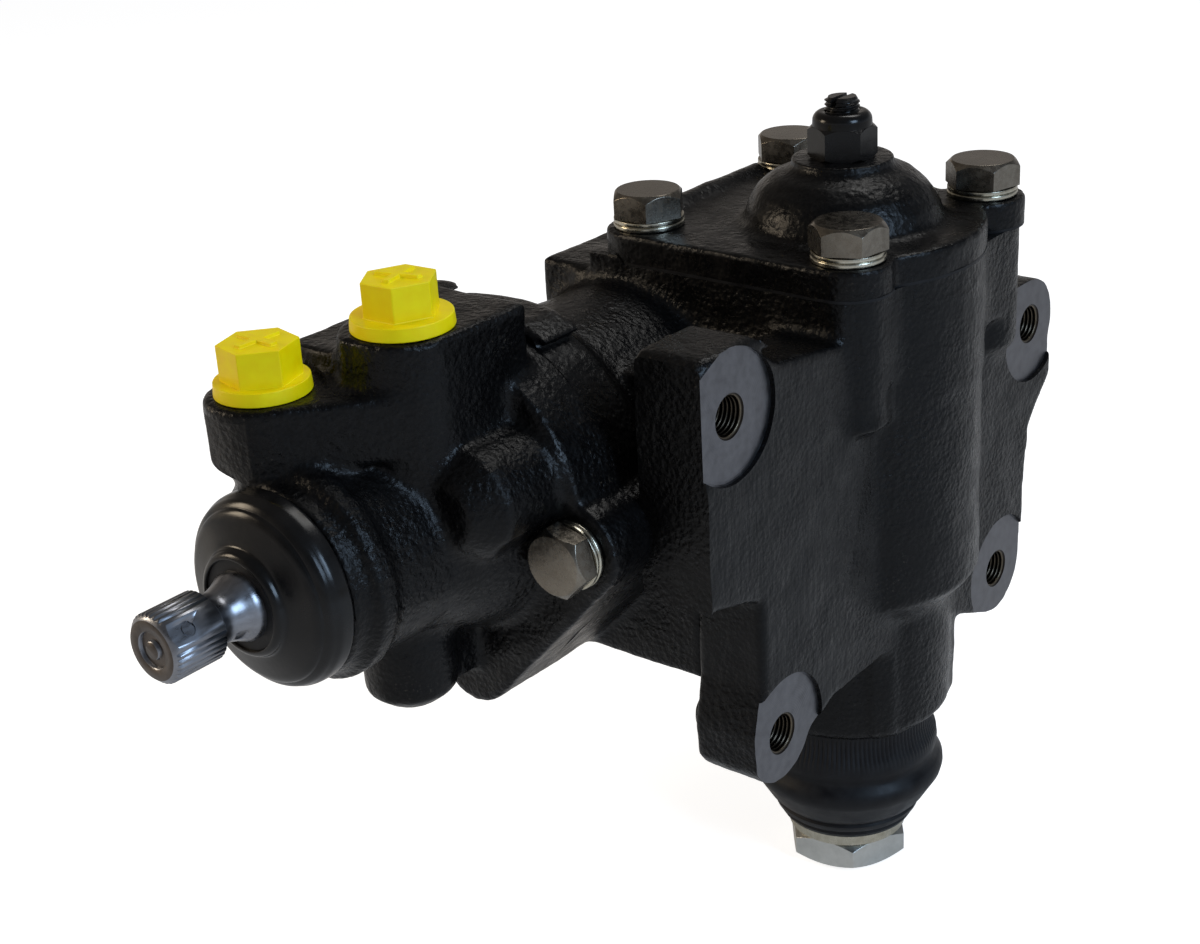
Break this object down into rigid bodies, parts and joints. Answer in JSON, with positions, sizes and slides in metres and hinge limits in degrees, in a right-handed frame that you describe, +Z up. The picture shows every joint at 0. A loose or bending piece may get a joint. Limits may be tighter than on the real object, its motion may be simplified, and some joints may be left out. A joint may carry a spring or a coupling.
{
  "type": "power steering gear",
  "caption": "Recirculating-ball power steering gear: black cast housing, bolted sector cover, ribbed boot on the output shaft, splined input shaft and capped ports.",
  "frame": {"origin": "centre of the sector shaft's lower end", "axes": "+X out of the frame mounting pads, +Y along the worm away from the input shaft, +Z up the sector shaft towards the cover"},
  "size_m": [0.1428, 0.3105, 0.2461],
  "materials": {
    "housing_paint": "black gloss paint over rough sand casting",
    "valve_paint": "black gloss paint over sand casting",
    "cover_paint": "black gloss paint over sand casting",
    "cap_paint": "smooth black gloss paint",
    "gasket_fibre": "pressed fibre sheet",
    "zinc_bolts": "dull zinc plating",
    "zinc_washers": "dull zinc plating",
    "screw_paint": "black paint over steel",
    "lock_nut_paint": "black paint over steel",
    "nut_zinc": "light zinc plating",
    "seal_rubber": "moulded nitrile rubber",
    "spring_steel": "hardened steel",
    "bearing_steel": "polished bearing steel",
    "machined_steel": "turned and ground steel",
    "shaft_steel": "ground bare steel",
    "yellow_plastic": "moulded soft yellow plastic",
    "ring_plastic": "filled fluoroplastic",
    "boot_rubber": "ribbed black rubber"
  },
  "bodies": {
    "housing": {"gear_housing": "housing_paint", "valve_housing": "valve_paint", "sector_cover": "cover_paint", "cover_gasket": "gasket_fibre", "cover_bolts": "zinc_bolts", "cover_spring_washers": "zinc_washers", "valve_housing_bolts": "zinc_bolts", "valve_housing_washers": "zinc_washers", "adjusting_screw": "screw_paint", "lock_nut": "lock_nut_paint", "front_cap": "cap_paint", "valve_housing_seal": "seal_rubber", "input_shaft_seal": "seal_rubber", "sector_shaft_seal": "seal_rubber", "seal_retaining_ring": "spring_steel", "lower_sector_bearing": "bearing_steel", "upper_sector_bearing": "bearing_steel", "input_needle_bearing": "bearing_steel", "worm_bearing_balls_front": "bearing_steel", "worm_bearing_race_front": "bearing_steel", "worm_bearing_balls_rear": "bearing_steel", "worm_bearing_race_rear": "bearing_steel", "worm_bearing_retainer": "machined_steel", "housing_end_plug": "cap_paint", "end_plug_seal": "seal_rubber", "end_plug_ring": "spring_steel", "pressure_port_plug": "yellow_plastic", "return_port_plug": "yellow_plastic", "dust_boot": "boot_rubber"},
    "sector": {"sector_shaft": "shaft_steel", "pitman_nut": "nut_zinc", "pitman_lock_washer": "zinc_washers"},
    "piston": {"rack_piston": "machined_steel", "piston_ring": "ring_plastic", "piston_ring_expander": "seal_rubber", "piston_end_plug": "machined_steel", "recirculating_balls": "bearing_steel", "ball_return_tube": "machined_steel", "ball_guide_clamp": "machined_steel", "ball_guide_screws": "spring_steel"},
    "worm": {"worm_shaft": "shaft_steel", "valve_sleeve": "machined_steel", "valve_sleeve_rings": "ring_plastic", "torsion_bar": "spring_steel", "torsion_bar_worm_pin": "spring_steel"},
    "input": {"input_shaft": "shaft_steel", "torsion_bar_input_pin": "spring_steel"}
  },
  "joints": [
    {"name": "sector_turn", "type": "hinge", "parent": "housing", "child": "sector", "pos_m": [0, 0, 0], "axis": [0, 0, 1], "range_deg": [-43, 43]},
    {"name": "piston_slide", "type": "slide", "parent": "housing", "child": "piston", "axis": [0, 1, 0], "range_m": [-0.0181, 0.0181]},
    {"name": "worm_turn", "type": "hinge", "parent": "housing", "child": "worm", "pos_m": [-0.046, 0, 0.159], "axis": [0, 1, 0], "range_deg": [-650, 650]},
    {"name": "input_twist", "type": "hinge", "parent": "worm", "child": "input", "pos_m": [-0.046, 0, 0.159], "axis": [0, 1, 0], "range_deg": [-4, 4], "stiffness_Nm_per_rad": 65}
  ],
  "couplings": [
    {"joint": "piston_slide", "follows": "sector_turn", "m_per_rad": -0.024},
    {"joint": "worm_turn", "follows": "sector_turn", "ratio": 15.08}
  ]
}
